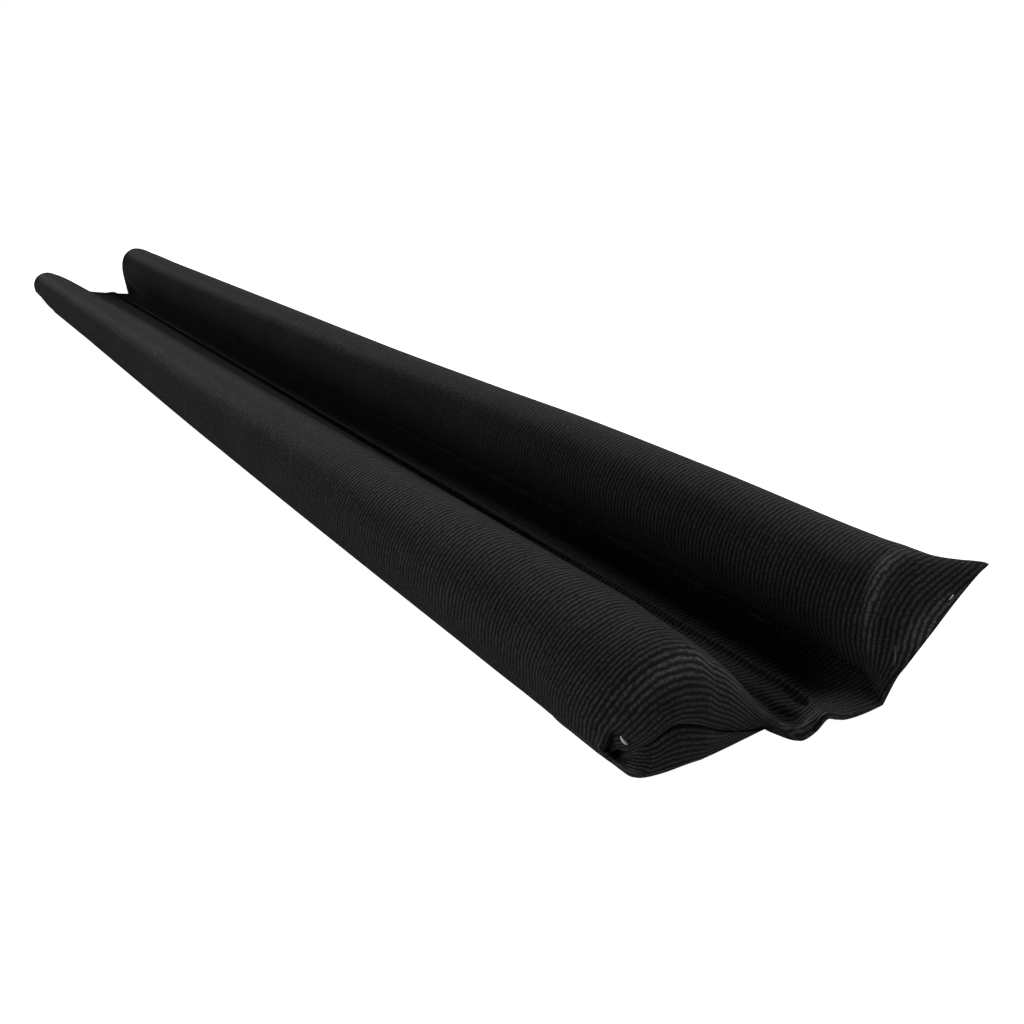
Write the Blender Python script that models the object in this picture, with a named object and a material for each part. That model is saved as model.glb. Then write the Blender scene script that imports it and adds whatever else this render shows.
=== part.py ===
"""Draught excluder: one sewn cloth sleeve, filled with two long round rolls that lie side by side.

A thin flat web of cloth joins the two rolls at floor level, and the door stands over that web.
The sleeve is one closed solid.  It is a loft between unlike sections: the two rolls with their web
in the middle, and flattened sewn hems at both ends.  The tables are in roll radii.
X runs along the rolls, the front roll lies at -Y, and Z is up.
"""
import math

import bpy
from mathutils import Vector

ROLL_RADIUS = 0.0185            # metres, half the thickness of one filled roll
SETTLE = 0.03                   # how far a roll flattens where it rests, in roll radii
WEB_TOP = 0.12                  # height of the web over the floor, in roll radii
STITCH_RISE = 0.07              # extra height of the sewn line along the web
HEM_HALF = 0.05                 # half the thickness of the pressed end hems
SWELL_HEIGHT = 0.60             # hem height at which the cloth swells past the hem in full

FRONT_STEPS = 14                # faces over the front pocket, from outer fold to foot
WEB_STEPS = 16                  # faces over the web
REAR_STEPS = 14                 # faces over the rear pocket
FINE_STEPS = 12                 # curve points worked out between two guide points

FRONT_FOOT_Y = 2.25             # where the front pocket's cloth reaches the web
STITCH_Y = 3.02                 # sewn line along the web
STITCH_HALF_WIDTH = 0.13
REAR_FOOT_Y = 4.20              # sewn line at the foot of the rear pocket
REAR_TUCK_REACH = 0.70          # how far in front of its centre the rear roll meets the web
REAR_TUCK_Z = 0.15
HUG_REACH = 1.16                # where cloth that hugs the front roll nears the floor
HUG_Z = 0.28
RESTING_REACH = 0.24            # half the width on which a roll of radius 1 rests

# The front pocket's inner flank: the bends of the cloth where it spreads from the roll to the web.
FLANK_COLUMNS = ("y", "z")
FLANK_ROWS = (
    (1.24, 1.32),
    (1.66, 0.84),
    (2.02, 0.36),
)

# One row per section through the rolls, from the far end to the near end.  The column "follow"
# says how much the cloth of a section is already drawn along the outline of the nearer hem.
SECTION_COLUMNS = ("x", "follow", "front_y", "front_radius", "front_fold", "flank",
                   "rear_y", "rear_radius", "rear_fold")
SECTION_ROWS = (
    (-46.9, 1.00, -0.06, 0.70, 205, 0.00, 4.80, 1.09, 30),
    (-45.4, 0.50, -0.09, 0.76, 192, 0.00, 4.90, 1.06, 10),
    (-43.0, 0.00, -0.15, 0.82, 180, 0.00, 5.01, 1.02, 0),
    (-36.0, 0.00, -0.12, 0.87, 180, 0.00, 5.06, 1.01, 0),
    (-28.0, 0.00, -0.10, 0.93, 180, 0.00, 5.06, 1.01, 0),
    (-20.0, 0.00, -0.10, 0.97, 180, 0.00, 5.05, 1.01, 0),
    (-14.0, 0.00, -0.05, 0.99, 180, 0.00, 5.18, 1.01, 0),
    (-9.00, 0.00, 0.01, 1.02, 180, 0.10, 5.30, 1.02, 0),
    (-5.50, 0.00, 0.05, 1.03, 180, 0.45, 5.25, 1.02, 0),
    (-3.00, 0.10, 0.08, 1.03, 188, 0.80, 5.17, 1.01, 12),
    (-1.70, 0.50, 0.08, 1.03, 198, 1.00, 5.13, 1.01, 34),
    (-1.00, 1.00, 0.06, 1.02, 205, 1.00, 5.10, 1.03, 55),
)

# Middle line of the sewn hem at each end, one row per bend of the cloth.
HEM_COLUMNS = ("pocket", "x", "y", "z")
NEAR_HEM_ROWS = (
    ("front", -0.98, -0.60, 0.42),
    ("front", -0.86, -0.34, 0.44),
    ("front", -0.73, -0.16, 0.60),
    ("front", -0.62, 0.10, 0.81),
    ("front", -0.60, 0.49, 0.69),
    ("front", -0.57, 1.05, 0.37),
    ("front", -0.56, 1.67, 0.12),
    ("front", -0.55, 2.00, 0.06),
    ("web", -0.42, 2.03, 0.05),
    ("web", -0.25, 2.08, 0.05),
    ("web", -0.06, 2.20, 0.05),
    ("web", 0.00, 2.40, 0.16),
    ("web", 0.04, 2.58, 0.35),
    ("web", 0.04, 2.85, 0.20),
    ("web", 0.02, 3.10, 0.12),
    ("web", 0.00, 3.50, 0.07),
    ("web", 0.00, 3.94, 0.06),
    ("rear", 0.00, 4.18, 0.44),
    ("rear", 0.00, 4.39, 0.60),
    ("rear", 0.00, 4.93, 1.02),
    ("rear", 0.00, 5.42, 1.41),
    ("rear", 0.02, 5.87, 1.76),
    ("rear", 0.02, 6.14, 1.87),
)
FAR_HEM_ROWS = (
    ("front", -48.20, -0.66, 0.42),
    ("front", -48.40, -0.20, 0.72),
    ("front", -48.50, 0.40, 0.85),
    ("front", -48.40, 1.10, 0.50),
    ("front", -48.20, 1.80, 0.15),
    ("web", -47.60, 2.30, 0.07),
    ("web", -46.90, 2.90, 0.06),
    ("web", -46.50, 3.55, 0.06),
    ("rear", -48.40, 3.90, 0.25),
    ("rear", -49.50, 4.20, 0.70),
    ("rear", -49.90, 4.75, 1.15),
    ("rear", -49.90, 5.30, 1.45),
    ("rear", -49.60, 5.75, 1.55),
)

# How the cloth closes from the last full section to the hem: the share of the way to the hem,
# and how far behind the hem the cloth is.
CLOSING_COLUMNS = ("station", "side", "front_share", "front_set", "rear_share", "rear_set")
NEAR_CLOSING_ROWS = (
    (-0.65, "top", 0.10, 0.20, 0.20, 0.68),
    (-0.65, "under", 0.03, 0.10, 0.20, 0.68),
    (-0.30, "top", 0.52, -0.12, 0.50, 0.34),
    (-0.30, "under", 0.27, -0.20, 0.58, 0.34),
)
FAR_CLOSING_ROWS = (
    (-49.10, "top", 0.50, -0.05, 0.45, -0.05),
    (-49.10, "under", 0.50, -0.05, 0.50, -0.05),
    (-48.60, "top", 0.12, 0.30, 0.06, 0.25),
    (-48.60, "under", 0.12, 0.30, 0.10, 0.25),
)
FAR_EDGE_X = -48.0              # where the far hem lies when its outline is taken as straight
FAR_HEM_STATION = -49.5
NEAR_HEM_STATION = 0.0

# Stations at which rings of the finished sleeve lie, as runs of evenly spaced rings.
RING_COLUMNS = ("first", "last", "count")
RING_ROWS = (
    (-49.50, -48.30, 8),
    (-48.10, -44.80, 9),
    (-43.50, -7.500, 18),
    (-6.500, -2.500, 6),
    (-2.100, -1.200, 6),
    (-1.050, 0.000, 12),
)


def table(columns, rows):
    """Rows of a table as dictionaries."""
    return [dict(zip(columns, row)) for row in rows]


def mix(first, last, share):
    """Value part of the way from first to last."""
    return first + (last - first) * share


def rounded_line(guides):
    """Catmull-Rom curve through the guide points, as many close points."""
    line = []
    for index in range(len(guides) - 1):
        before = guides[max(index - 1, 0)]
        start = guides[index]
        end = guides[index + 1]
        after = guides[min(index + 2, len(guides) - 1)]
        for step in range(FINE_STEPS):
            t = step / FINE_STEPS
            point = 0.5 * (2.0 * start + (end - before) * t
                           + (2.0 * before - 5.0 * start + 4.0 * end - after) * t * t
                           + (3.0 * start - before - 3.0 * end + after) * t * t * t)
            line.append(point)
    line.append(guides[-1].copy())
    return line


def evenly(guides, steps):
    """Points spaced evenly along the rounded line through the guide points."""
    line = rounded_line(guides)
    lengths = [0.0]
    for first, last in zip(line, line[1:]):
        lengths.append(lengths[-1] + (last - first).length)
    points = []
    place = 0
    for step in range(steps + 1):
        wanted = lengths[-1] * step / steps
        while place < len(line) - 2 and lengths[place + 1] < wanted:
            place += 1
        span = max(lengths[place + 1] - lengths[place], 1e-9)
        points.append(line[place].lerp(line[place + 1], min((wanted - lengths[place]) / span, 1.0)))
    return points


def on_roll(centre_y, radius, degrees):
    """Point of a roll's round section, flattened where it rests."""
    angle = math.radians(degrees)
    height = radius * (1.0 - SETTLE) + radius * math.sin(angle)
    return Vector((0.0, centre_y + radius * math.cos(angle), max(height, 0.0)))


def joined(front, web, rear):
    """One line from three that share their end points."""
    return front + web[1:] + rear[1:]


def top_of_section(row):
    """Upper cloth of a section, from the front roll's outer fold to the rear roll's."""
    front_y = row["front_y"]
    front_radius = row["front_radius"]
    fold = row["front_fold"]
    front = [on_roll(front_y, front_radius, mix(fold, 90, step / 4)) for step in range(5)]
    front += [on_roll(front_y, front_radius, degrees) for degrees in (62, 35)]
    hugging = (on_roll(front_y, front_radius, 8), on_roll(front_y, front_radius, -22),
               Vector((0.0, front_y + HUG_REACH * front_radius, HUG_Z)))
    for close, bend in zip(hugging, table(FLANK_COLUMNS, FLANK_ROWS)):
        front.append(close.lerp(Vector((0.0, bend["y"], bend["z"])), row["flank"]))
    front.append(Vector((0.0, FRONT_FOOT_Y, WEB_TOP)))
    stitch_top = WEB_TOP + STITCH_RISE
    web = [Vector((0.0, FRONT_FOOT_Y, WEB_TOP)),
           Vector((0.0, STITCH_Y - 3.0 * STITCH_HALF_WIDTH, WEB_TOP)),
           Vector((0.0, STITCH_Y - STITCH_HALF_WIDTH, WEB_TOP)),
           Vector((0.0, STITCH_Y, stitch_top)),
           Vector((0.0, STITCH_Y + STITCH_HALF_WIDTH, WEB_TOP)),
           Vector((0.0, REAR_FOOT_Y - 2.0 * STITCH_HALF_WIDTH, WEB_TOP)),
           Vector((0.0, REAR_FOOT_Y, stitch_top))]
    rear_y = row["rear_y"]
    rear_radius = row["rear_radius"]
    rear = [Vector((0.0, REAR_FOOT_Y, stitch_top)),
            Vector((0.0, rear_y - REAR_TUCK_REACH * rear_radius, REAR_TUCK_Z))]
    rear += [on_roll(rear_y, rear_radius, degrees) for degrees in (214, 190, 160, 130)]
    rear += [on_roll(rear_y, rear_radius, mix(100, row["rear_fold"], step / 4))
             for step in range(5)]
    return joined(evenly(front, FRONT_STEPS), evenly(web, WEB_STEPS), evenly(rear, REAR_STEPS))


def underside_of_section(row):
    """Lower cloth of a section: round outside the rolls, flat on the floor between them."""
    front_y = row["front_y"]
    front_radius = row["front_radius"]
    rear_y = row["rear_y"]
    rear_radius = row["rear_radius"]
    front = [on_roll(front_y, front_radius, mix(row["front_fold"], 250, step / 4))
             for step in range(4)]
    front += [Vector((0.0, front_y - RESTING_REACH * front_radius, 0.0)),
              Vector((0.0, FRONT_FOOT_Y, 0.0))]
    web = [Vector((0.0, FRONT_FOOT_Y, 0.0)), Vector((0.0, REAR_FOOT_Y, 0.0))]
    rear = [Vector((0.0, REAR_FOOT_Y, 0.0)),
            Vector((0.0, rear_y + RESTING_REACH * rear_radius, 0.0))]
    rear += [on_roll(rear_y, rear_radius, mix(290, 360 + row["rear_fold"], step / 5))
             for step in range(1, 6)]
    line = joined(evenly(front, FRONT_STEPS), evenly(web, WEB_STEPS), evenly(rear, REAR_STEPS))
    for point in line:
        point.z = max(point.z, 0.0)
    return line


def rear_share(index):
    """0 over the front pocket, 1 over the rear pocket, and a smooth change over the web."""
    across = min(max((index - FRONT_STEPS) / WEB_STEPS, 0.0), 1.0)
    return across * across * (3.0 - 2.0 * across)


def section_ring(row, hem, edge_x):
    """Upper and lower cloth of one full section, placed along the rolls."""
    top = top_of_section(row)
    under = underside_of_section(row)
    for upper, lower, edge in zip(top, under, hem[0]):
        upper.x = row["x"] + row["follow"] * (edge.x - edge_x)
        lower.x = upper.x
    return top, under


def hem_ring(rows):
    """Upper and lower side of a pressed hem that follows the middle line in the table."""
    lines = {"front": [], "web": [], "rear": []}
    last_pocket = None
    for row in table(HEM_COLUMNS, rows):
        point = Vector((row["x"], row["y"], row["z"]))
        if last_pocket and last_pocket != row["pocket"]:
            lines[row["pocket"]].append(lines[last_pocket][-1].copy())
        lines[row["pocket"]].append(point)
        last_pocket = row["pocket"]
    middle = joined(evenly(lines["front"], FRONT_STEPS), evenly(lines["web"], WEB_STEPS),
                    evenly(lines["rear"], REAR_STEPS))
    top = []
    under = []
    for index, point in enumerate(middle):
        along = middle[min(index + 1, len(middle) - 1)] - middle[max(index - 1, 0)]
        across = Vector((0.0, -along.z, along.y)).normalized()
        top.append(point + across * HEM_HALF)
        lower = point - across * HEM_HALF
        lower.z = max(lower.z, 0.0)
        under.append(lower)
    for line in (top, under):
        for end in (0, -1):
            line[end] = middle[end].copy()
    return top, under


def closing_line(full_line, hem_line, row, outward):
    """One side of the cloth on its way from the last full section to the hem."""
    line = []
    for index, (start, end) in enumerate(zip(full_line, hem_line)):
        blend = rear_share(index)
        point = start.lerp(end, mix(row["front_share"], row["rear_share"], blend))
        setback = mix(row["front_set"], row["rear_set"], blend)
        if setback < 0.0:
            setback *= min(end.z / SWELL_HEIGHT, 1.0)
        point.x = end.x - outward * setback
        line.append(point)
    return line


def closing_rings(full, hem, rows, outward):
    """Rings between the last full section and the hem, each with its station."""
    rings = {}
    for row in table(CLOSING_COLUMNS, rows):
        ring = rings.setdefault(row["station"], {})
        side = 0 if row["side"] == "top" else 1
        ring[row["side"]] = closing_line(full[side], hem[side], row, outward)
    return [(station, (ring["top"], ring["under"])) for station, ring in rings.items()]


def slopes(stations, values):
    """Slopes for a smooth curve that never passes beyond the values it joins."""
    gaps = [last - first for first, last in zip(stations, stations[1:])]
    rates = [(last - first) / gap for first, last, gap in zip(values, values[1:], gaps)]
    result = [rates[0]]
    for index in range(1, len(values) - 1):
        before = rates[index - 1]
        after = rates[index]
        if before * after <= 0.0:
            result.append(0.0)
        else:
            weight_before = 2.0 * gaps[index] + gaps[index - 1]
            weight_after = gaps[index] + 2.0 * gaps[index - 1]
            result.append((weight_before + weight_after)
                          / (weight_before / before + weight_after / after))
    result.append(rates[-1])
    return result


def along_curve(stations, values, wanted):
    """Values of a smooth curve at the wanted stations."""
    leaning = slopes(stations, values)
    result = []
    place = 0
    for station in wanted:
        while place < len(stations) - 2 and stations[place + 1] < station:
            place += 1
        gap = stations[place + 1] - stations[place]
        t = min(max((station - stations[place]) / gap, 0.0), 1.0)
        squared = t * t
        cubed = squared * t
        result.append((2.0 * cubed - 3.0 * squared + 1.0) * values[place]
                      + (cubed - 2.0 * squared + t) * gap * leaning[place]
                      + (3.0 * squared - 2.0 * cubed) * values[place + 1]
                      + (cubed - squared) * gap * leaning[place + 1])
    return result


def key_rings():
    """The sections and hems that the sleeve passes through, from the far end to the near end."""
    far_hem = hem_ring(FAR_HEM_ROWS)
    near_hem = hem_ring(NEAR_HEM_ROWS)
    full = []
    for row in table(SECTION_COLUMNS, SECTION_ROWS):
        near = row["x"] > 0.5 * FAR_EDGE_X
        ring = section_ring(row, near_hem if near else far_hem, 0.0 if near else FAR_EDGE_X)
        full.append((row["x"], ring))
    keys = [(FAR_HEM_STATION, far_hem)]
    keys += closing_rings(full[0][1], far_hem, FAR_CLOSING_ROWS, -1.0)
    keys += full
    keys += closing_rings(full[-1][1], near_hem, NEAR_CLOSING_ROWS, 1.0)
    keys.append((NEAR_HEM_STATION, near_hem))
    return keys


def ring_stations():
    """Every station that gets a ring of corners."""
    stations = []
    for row in table(RING_COLUMNS, RING_ROWS):
        step = (row["last"] - row["first"]) / (row["count"] - 1)
        stations += [row["first"] + step * number for number in range(row["count"])]
    return stations


def sleeve_rings():
    """All rings of the sleeve: the upper cloth outwards, then the lower cloth back."""
    keys = key_rings()
    stations = [station for station, ring in keys]
    closed = [top + under[-2:0:-1] for station, (top, under) in keys]
    wanted = ring_stations()
    rings = [[Vector() for point in closed[0]] for station in wanted]
    for place in range(len(closed[0])):
        for axis in range(3):
            values = [line[place][axis] for line in closed]
            for ring, value in zip(rings, along_curve(stations, values, wanted)):
                ring[place][axis] = value
    for ring in rings:
        for point in ring:
            point.z = max(point.z, 0.0)
    return rings


def sleeve_mesh():
    """Closed skin over the rings, centred over the middle of its footprint, in metres."""
    rings = sleeve_rings()
    corners = [point * ROLL_RADIUS for ring in rings for point in ring]
    low = [min(point[axis] for point in corners) for axis in range(3)]
    high = [max(point[axis] for point in corners) for axis in range(3)]
    shift = Vector((-0.5 * (low[0] + high[0]), -0.5 * (low[1] + high[1]), -low[2]))
    corners = [point + shift for point in corners]
    around = len(rings[0])
    faces = []
    for ring in range(len(rings) - 1):
        for place in range(around):
            following = (place + 1) % around
            faces.append((ring * around + place, (ring + 1) * around + place,
                          (ring + 1) * around + following, ring * around + following))
    across = around // 2
    for start, outward in ((0, True), ((len(rings) - 1) * around, False)):
        for place in range(across):
            upper = (start + place, start + place + 1)
            lower = (start + (around - place) % around, start + around - place - 1)
            if place == 0:
                face = (upper[0], upper[1], lower[1])
            elif place == across - 1:
                face = (upper[0], upper[1], lower[0])
            else:
                face = (upper[0], upper[1], lower[1], lower[0])
            faces.append(face if outward else face[::-1])
    mesh = bpy.data.meshes.new("sleeve")
    mesh.from_pydata(corners, [], faces)
    mesh.update()
    return mesh


def cloth_material():
    """Matt black ribbed cloth."""
    material = bpy.data.materials.new("black_rib_cloth")
    material.use_nodes = True
    shader = material.node_tree.nodes["Principled BSDF"]
    shader.inputs["Base Color"].default_value = (0.012, 0.012, 0.013, 1.0)
    shader.inputs["Roughness"].default_value = 0.85
    shader.inputs["Metallic"].default_value = 0.0
    return material


for existing in list(bpy.data.objects):
    bpy.data.objects.remove(existing, do_unlink=True)

collection = bpy.data.collections.new("draught_excluder")
bpy.context.scene.collection.children.link(collection)

sleeve = bpy.data.objects.new("sleeve", sleeve_mesh())
collection.objects.link(sleeve)
sleeve.data.materials.append(cloth_material())
for polygon in sleeve.data.polygons:
    polygon.use_smooth = True
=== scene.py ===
"""Looks of the draught excluder: a black ribbed cloth sleeve over two long round rolls.

The sleeve lies flat on a pale floor.  Every size is in metres, and the tables of the sleeve are
in roll radii, as a maker would scale the pattern to a thicker or thinner filling.
"""
import math

import bpy
import numpy as np
from mathutils import Matrix, Vector
from mathutils.bvhtree import BVHTree


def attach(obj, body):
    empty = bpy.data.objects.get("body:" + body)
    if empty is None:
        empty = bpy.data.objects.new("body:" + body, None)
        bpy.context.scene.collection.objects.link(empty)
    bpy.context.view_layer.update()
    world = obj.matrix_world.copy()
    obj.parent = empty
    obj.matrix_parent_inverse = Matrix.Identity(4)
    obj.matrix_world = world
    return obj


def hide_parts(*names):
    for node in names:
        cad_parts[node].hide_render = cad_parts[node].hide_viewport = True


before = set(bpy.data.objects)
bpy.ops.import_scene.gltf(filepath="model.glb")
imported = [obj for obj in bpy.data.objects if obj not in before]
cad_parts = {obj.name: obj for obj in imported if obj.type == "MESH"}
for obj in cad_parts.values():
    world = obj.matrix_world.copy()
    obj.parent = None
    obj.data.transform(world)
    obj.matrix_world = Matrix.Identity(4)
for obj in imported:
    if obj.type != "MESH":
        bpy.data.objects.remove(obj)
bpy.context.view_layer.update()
for shown in bpy.context.selected_objects:
    shown.select_set(False)

# Sleeve.
# One sewn sleeve of stretch rib cloth, pulled over two foam rolls.  Its ribs run round the rolls,
# its ends are pressed flat and sewn shut, and a flat web of doubled cloth joins the two pockets.
# The cloth is lofted through the sections of the pattern and then creased along the listed creases.
ROLL_RADIUS = 0.0185            # half the thickness of one filled roll
SETTLE = 0.03                   # how far a roll flattens where it rests, in roll radii
WEB_TOP = 0.12                  # height of the web over the floor, in roll radii
STITCH_RISE = 0.07              # extra height of the sewn line along the web
HEM_HALF = 0.05                 # half the thickness of the pressed end hems
SWELL_HEIGHT = 0.60             # hem height at which the cloth swells past the hem in full

FRONT_STEPS = 52                # faces over the front pocket, from outer fold to foot
WEB_STEPS = 56                  # faces over the web
REAR_STEPS = 54                 # faces over the rear pocket
FINE_STEPS = 24                 # curve points worked out between two guide points

FRONT_FOOT_Y = 2.25             # where the front pocket's cloth reaches the web
STITCH_Y = 3.02                 # sewn line along the web
STITCH_HALF_WIDTH = 0.13
REAR_FOOT_Y = 4.20              # sewn line at the foot of the rear pocket
REAR_TUCK_REACH = 0.70          # how far in front of its centre the rear roll meets the web
REAR_TUCK_Z = 0.15
HUG_REACH = 1.16                # where cloth that hugs the front roll nears the floor
HUG_Z = 0.28
RESTING_REACH = 0.24            # half the width on which a roll of radius 1 rests

FLANK_COLUMNS = ("y", "z")
FLANK_ROWS = (
    (1.24, 1.32),
    (1.66, 0.84),
    (2.02, 0.36),
)
SECTION_COLUMNS = ("x", "follow", "front_y", "front_radius", "front_fold", "flank",
                   "rear_y", "rear_radius", "rear_fold")
SECTION_ROWS = (
    (-46.9, 1.00, -0.06, 0.70, 205, 0.00, 4.80, 1.09, 30),
    (-45.4, 0.50, -0.09, 0.76, 192, 0.00, 4.90, 1.06, 10),
    (-43.0, 0.00, -0.15, 0.82, 180, 0.00, 5.01, 1.02, 0),
    (-36.0, 0.00, -0.12, 0.87, 180, 0.00, 5.06, 1.01, 0),
    (-28.0, 0.00, -0.10, 0.93, 180, 0.00, 5.06, 1.01, 0),
    (-20.0, 0.00, -0.10, 0.97, 180, 0.00, 5.05, 1.01, 0),
    (-14.0, 0.00, -0.05, 0.99, 180, 0.00, 5.18, 1.01, 0),
    (-9.00, 0.00, 0.01, 1.02, 180, 0.10, 5.30, 1.02, 0),
    (-5.50, 0.00, 0.05, 1.03, 180, 0.45, 5.25, 1.02, 0),
    (-3.00, 0.10, 0.08, 1.03, 188, 0.80, 5.17, 1.01, 12),
    (-1.70, 0.50, 0.08, 1.03, 198, 1.00, 5.13, 1.01, 34),
    (-1.00, 1.00, 0.06, 1.02, 205, 1.00, 5.10, 1.03, 55),
)
HEM_COLUMNS = ("pocket", "x", "y", "z")
NEAR_HEM_ROWS = (
    ("front", -0.98, -0.60, 0.42),
    ("front", -0.86, -0.34, 0.44),
    ("front", -0.73, -0.16, 0.60),
    ("front", -0.62, 0.10, 0.81),
    ("front", -0.60, 0.49, 0.69),
    ("front", -0.57, 1.05, 0.37),
    ("front", -0.56, 1.67, 0.12),
    ("front", -0.55, 2.00, 0.06),
    ("web", -0.42, 2.03, 0.05),
    ("web", -0.25, 2.08, 0.05),
    ("web", -0.06, 2.20, 0.05),
    ("web", 0.00, 2.40, 0.16),
    ("web", 0.04, 2.58, 0.34),
    ("web", 0.04, 2.85, 0.24),
    ("web", 0.02, 3.10, 0.14),
    ("web", 0.00, 3.50, 0.07),
    ("web", 0.00, 3.94, 0.06),
    ("rear", 0.00, 4.18, 0.44),
    ("rear", 0.00, 4.39, 0.60),
    ("rear", 0.00, 4.93, 1.02),
    ("rear", 0.00, 5.42, 1.41),
    ("rear", 0.02, 5.87, 1.76),
    ("rear", 0.02, 6.14, 1.87),
)
FAR_HEM_ROWS = (
    ("front", -48.20, -0.66, 0.42),
    ("front", -48.40, -0.20, 0.72),
    ("front", -48.50, 0.40, 0.85),
    ("front", -48.40, 1.10, 0.50),
    ("front", -48.20, 1.80, 0.15),
    ("web", -47.60, 2.30, 0.07),
    ("web", -46.90, 2.90, 0.06),
    ("web", -46.50, 3.55, 0.06),
    ("rear", -48.40, 3.90, 0.25),
    ("rear", -49.50, 4.20, 0.70),
    ("rear", -49.90, 4.75, 1.15),
    ("rear", -49.90, 5.30, 1.45),
    ("rear", -49.60, 5.75, 1.55),
)
CLOSING_COLUMNS = ("station", "side", "front_share", "front_set", "rear_share", "rear_set")
NEAR_CLOSING_ROWS = (
    (-0.65, "top", 0.10, 0.20, 0.05, 0.62),
    (-0.65, "under", 0.03, 0.10, 0.14, 0.64),
    (-0.50, "top", 0.27, 0.04, 0.24, 0.48),
    (-0.50, "under", 0.10, -0.06, 0.32, 0.50),
    (-0.30, "top", 0.52, -0.12, 0.55, 0.27),
    (-0.30, "under", 0.27, -0.20, 0.60, 0.28),
    (-0.16, "top", 0.85, -0.19, 0.80, 0.14),
    (-0.16, "under", 0.75, -0.23, 0.82, 0.14),
    (-0.10, "top", 0.985, -0.13, 0.90, 0.08),
    (-0.10, "under", 0.985, -0.14, 0.90, 0.08),
)
FAR_CLOSING_ROWS = (
    (-49.10, "top", 0.50, -0.05, 0.45, -0.05),
    (-49.10, "under", 0.50, -0.05, 0.50, -0.05),
    (-48.60, "top", 0.12, 0.30, 0.06, 0.25),
    (-48.60, "under", 0.12, 0.30, 0.10, 0.25),
)
FAR_EDGE_X = -48.0              # where the far hem lies when its outline is taken as straight
FAR_HEM_STATION = -49.5         # stations count along the pattern, from the near hem
NEAR_HEM_STATION = 0.0
ALONG_SHIFT = 24.9704           # from the pattern's near hem to the middle of the sleeve
ACROSS_SHIFT = -2.6231          # from the front roll's centre line to the middle of the sleeve

# Length of cloth from the middle of the sleeve to each station, over the front and the rear
# pocket, in roll radii.  The ribs count along these lengths.  Past the last station the cloth's
# length is measured over its bulges, with a little more for the cloth that is gathered there.
LENGTH_COLUMNS = ("station", "front", "rear")
LENGTH_ROWS = (
    (-49.5, -50.2, -50.2),
    (-48.0, -48.0, -48.0),
    (-3.00, -3.00, -3.00),
)
FRONT_GATHER = 1.10             # cloth over the front pocket's end, against the length of its bulge
END_START = -1.0                # where the front pocket's cloth starts to gather for its end
END_GATHER = 0.18               # and how much more cloth there is from there on
FOOT_START = 0.55               # share of the way over the pocket where its foot's own lengths start
FOOT_OWN = 0.40                 # and how far the foot's own lengths count there
REAR_GATHER = 1.03              # cloth over the rear pocket's end, in the same way
REAR_EVENNESS = 0.5             # how far the rear pocket's lengths are evened out across it
VALLEY_START = -2               # corners past the front pocket's foot where its cloth ends
VALLEY_END = 7                  # and where the web's own cloth starts, with a crease between
PINCH = 0.12                    # share of the hem's thickness left inside the front crease
PINCH_SPREAD = 8                # corners over which the front crease opens to the flat hem

# Edge of the pressed hems past the last ring: the share of the hem's thickness that is left, and
# how far the edge stands out.  Over the front pocket the edge is drawn in between the bulging
# cloths, as a sharp crease.
LIP_SPREAD = 4.0                # corners over which the drawn-in edge opens to the flat hem
LIP_COLUMNS = ("thickness", "out", "front_out")
LIP_ROWS = (
    (0.86, 0.022, -0.015),
    (0.55, 0.040, -0.045),
    (0.15, 0.050, -0.100),
)

# Runs of evenly spaced rings of corners: close together at the hems, wider along the rolls.
RING_COLUMNS = ("first", "last", "count")
RING_ROWS = (
    (-49.50, -48.04, 24),
    (-48.00, -44.10, 24),
    (-44.00, -12.20, 84),
    (-12.00, -3.100, 44),
    (-3.000, -1.240, 32),
    (-1.200, 0.000, 72),
)
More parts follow.
